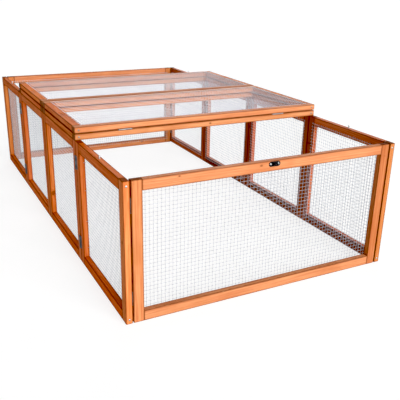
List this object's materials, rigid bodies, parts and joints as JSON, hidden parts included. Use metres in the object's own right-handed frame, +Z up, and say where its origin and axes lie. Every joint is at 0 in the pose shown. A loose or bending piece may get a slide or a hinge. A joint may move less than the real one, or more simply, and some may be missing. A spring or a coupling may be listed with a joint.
{
  "type": "folding outdoor small animal run",
  "caption": "Low rectangular outdoor run of timber frames filled with welded wire mesh, open at the bottom, with folding sides and a hinged mesh lid folded back from each end bay.",
  "frame": {"origin": "On the ground in the middle of the run", "axes": "+Z up, +Y from the front end to the rear end along the run, +X to the right seen from the front"},
  "size_m": [1.011, 1.8532, 0.504],
  "materials": {
    "timber": "planed softwood, stained orange brown, matt",
    "mesh_wire": "galvanised welded wire",
    "hinge_steel": "zinc plated steel",
    "screw_steel": "zinc plated steel",
    "latch_black": "black coated steel"
  },
  "bodies": {
    "front_panel": {"front_panel_frame": "timber", "front_panel_mesh": "mesh_wire", "front_panel_hinge_leaves": "hinge_steel", "front_latch_plate": "latch_black"},
    "front_knob": {"front_turn_knob": "latch_black"},
    "front_roof": {"front_roof_frame": "timber", "front_roof_mesh": "mesh_wire", "front_roof_hinges": "hinge_steel", "front_roof_screws": "screw_steel"},
    "front_lid": {"front_lid_frame": "timber", "front_lid_mesh": "mesh_wire", "front_lid_hinge_leaves": "hinge_steel", "front_lid_screws": "screw_steel", "front_hasp_leaf": "latch_black"},
    "front_hasp": {"front_hasp_strap": "latch_black"},
    "rear_panel": {"rear_panel_frame": "timber", "rear_panel_mesh": "mesh_wire", "rear_panel_hinge_leaves": "hinge_steel", "rear_latch_plate": "latch_black"},
    "rear_knob": {"rear_turn_knob": "latch_black"},
    "rear_roof": {"rear_roof_frame": "timber", "rear_roof_mesh": "mesh_wire", "rear_roof_hinges": "hinge_steel", "rear_roof_screws": "screw_steel"},
    "rear_lid": {"rear_lid_frame": "timber", "rear_lid_mesh": "mesh_wire", "rear_lid_hinge_leaves": "hinge_steel", "rear_lid_screws": "screw_steel", "rear_hasp_leaf": "latch_black"},
    "rear_hasp": {"rear_hasp_strap": "latch_black"},
    "left_front_wing": {"left_front_wing_frame": "timber", "left_front_wing_mesh": "mesh_wire", "left_front_wing_hinges": "hinge_steel", "left_front_wing_fixings": "screw_steel"},
    "left_front_mid": {"left_front_mid_frame": "timber", "left_front_mid_mesh": "mesh_wire", "left_front_mid_hinges": "hinge_steel"},
    "left_rear_wing": {"left_rear_wing_frame": "timber", "left_rear_wing_mesh": "mesh_wire", "left_rear_wing_hinges": "hinge_steel", "left_rear_wing_fixings": "screw_steel"},
    "left_rear_mid": {"left_rear_mid_frame": "timber", "left_rear_mid_mesh": "mesh_wire", "left_rear_mid_hinges": "hinge_steel"},
    "right_front_wing": {"right_front_wing_frame": "timber", "right_front_wing_mesh": "mesh_wire", "right_front_wing_hinges": "hinge_steel", "right_front_wing_fixings": "screw_steel"},
    "right_front_mid": {"right_front_mid_frame": "timber", "right_front_mid_mesh": "mesh_wire", "right_front_mid_hinges": "hinge_steel"},
    "right_rear_wing": {"right_rear_wing_frame": "timber", "right_rear_wing_mesh": "mesh_wire", "right_rear_wing_hinges": "hinge_steel", "right_rear_wing_fixings": "screw_steel"},
    "right_rear_mid": {"right_rear_mid_frame": "timber", "right_rear_mid_mesh": "mesh_wire", "right_rear_mid_hinges": "hinge_steel"}
  },
  "joints": [
    {"name": "left_front_corner_fold", "type": "hinge", "parent": "front_panel", "child": "left_front_wing", "pos_m": [-0.476, -0.895, 0.2285], "axis": [0, 0, -1], "range_deg": [0, 90]},
    {"name": "left_front_seam_fold", "type": "hinge", "parent": "left_front_wing", "child": "left_front_mid", "pos_m": [-0.503, -0.46025, 0.2285], "axis": [0, 0, 1], "range_deg": [0, 180]},
    {"name": "left_middle_seam_fold", "type": "hinge", "parent": "left_front_mid", "child": "left_rear_mid", "pos_m": [-0.476, 0, 0.2285], "axis": [0, 0, -1], "range_deg": [0, 180]},
    {"name": "left_rear_seam_fold", "type": "hinge", "parent": "left_rear_mid", "child": "left_rear_wing", "pos_m": [-0.503, 0.46025, 0.2285], "axis": [0, 0, 1], "range_deg": [0, 180]},
    {"name": "right_front_corner_fold", "type": "hinge", "parent": "front_panel", "child": "right_front_wing", "pos_m": [0.476, -0.895, 0.2285], "axis": [0, 0, 1], "range_deg": [0, 90]},
    {"name": "right_front_seam_fold", "type": "hinge", "parent": "right_front_wing", "child": "right_front_mid", "pos_m": [0.503, -0.46025, 0.2285], "axis": [0, 0, -1], "range_deg": [0, 180]},
    {"name": "right_middle_seam_fold", "type": "hinge", "parent": "right_front_mid", "child": "right_rear_mid", "pos_m": [0.476, 0, 0.2285], "axis": [0, 0, 1], "range_deg": [0, 180]},
    {"name": "right_rear_seam_fold", "type": "hinge", "parent": "right_rear_mid", "child": "right_rear_wing", "pos_m": [0.503, 0.46025, 0.2285], "axis": [0, 0, -1], "range_deg": [0, 180]},
    {"name": "left_rear_corner_fold", "type": "hinge", "parent": "left_rear_wing", "child": "rear_panel", "pos_m": [-0.476, 0.895, 0.2285], "axis": [0, 0, -1], "range_deg": [0, 90]},
    {"name": "front_roof_lift", "type": "slide", "parent": "front_panel", "child": "front_roof", "axis": [0, 0, 1], "range_m": [0, 0.3]},
    {"name": "rear_roof_lift", "type": "slide", "parent": "front_panel", "child": "rear_roof", "axis": [0, 0, 1], "range_m": [0, 0.3]},
    {"name": "front_lid_hinge", "type": "hinge", "parent": "front_roof", "child": "front_lid", "pos_m": [0, -0.463, 0.4795], "axis": [1, 0, 0], "range_deg": [0, 180]},
    {"name": "front_hasp_hinge", "type": "hinge", "parent": "front_lid", "child": "front_hasp", "pos_m": [0, -0.003, 0.499], "axis": [1, 0, 0], "range_deg": [0, 180]},
    {"name": "front_knob_turn", "type": "hinge", "parent": "front_panel", "child": "front_knob", "pos_m": [0, -0.92, 0.446], "axis": [0, -1, 0], "range_deg": [0, 90]},
    {"name": "rear_lid_hinge", "type": "hinge", "parent": "rear_roof", "child": "rear_lid", "pos_m": [0, 0.463, 0.4795], "axis": [-1, 0, 0], "range_deg": [0, 180]},
    {"name": "rear_hasp_hinge", "type": "hinge", "parent": "rear_lid", "child": "rear_hasp", "pos_m": [0, 0.003, 0.499], "axis": [-1, 0, 0], "range_deg": [0, 180]},
    {"name": "rear_knob_turn", "type": "hinge", "parent": "rear_panel", "child": "rear_knob", "pos_m": [0, 0.92, 0.446], "axis": [0, 1, 0], "range_deg": [0, 90]}
  ],
  "couplings": [
    {"joint": "right_front_corner_fold", "follows": "left_front_corner_fold", "ratio": 1},
    {"joint": "left_front_seam_fold", "follows": "left_front_corner_fold", "ratio": 2},
    {"joint": "left_middle_seam_fold", "follows": "left_front_corner_fold", "ratio": 2},
    {"joint": "left_rear_seam_fold", "follows": "left_front_corner_fold", "ratio": 2},
    {"joint": "right_front_seam_fold", "follows": "left_front_corner_fold", "ratio": 2},
    {"joint": "right_middle_seam_fold", "follows": "left_front_corner_fold", "ratio": 2},
    {"joint": "right_rear_seam_fold", "follows": "left_front_corner_fold", "ratio": 2},
    {"joint": "left_rear_corner_fold", "follows": "left_front_corner_fold", "ratio": 1},
    {"joint": "front_roof_lift", "follows": "left_front_corner_fold", "m_per_rad": 0.19098},
    {"joint": "rear_roof_lift", "follows": "left_front_corner_fold", "m_per_rad": 0.19098},
    {"joint": "front_hasp_hinge", "follows": "front_lid_hinge", "ratio": 1},
    {"joint": "rear_hasp_hinge", "follows": "rear_lid_hinge", "ratio": 1}
  ]
}
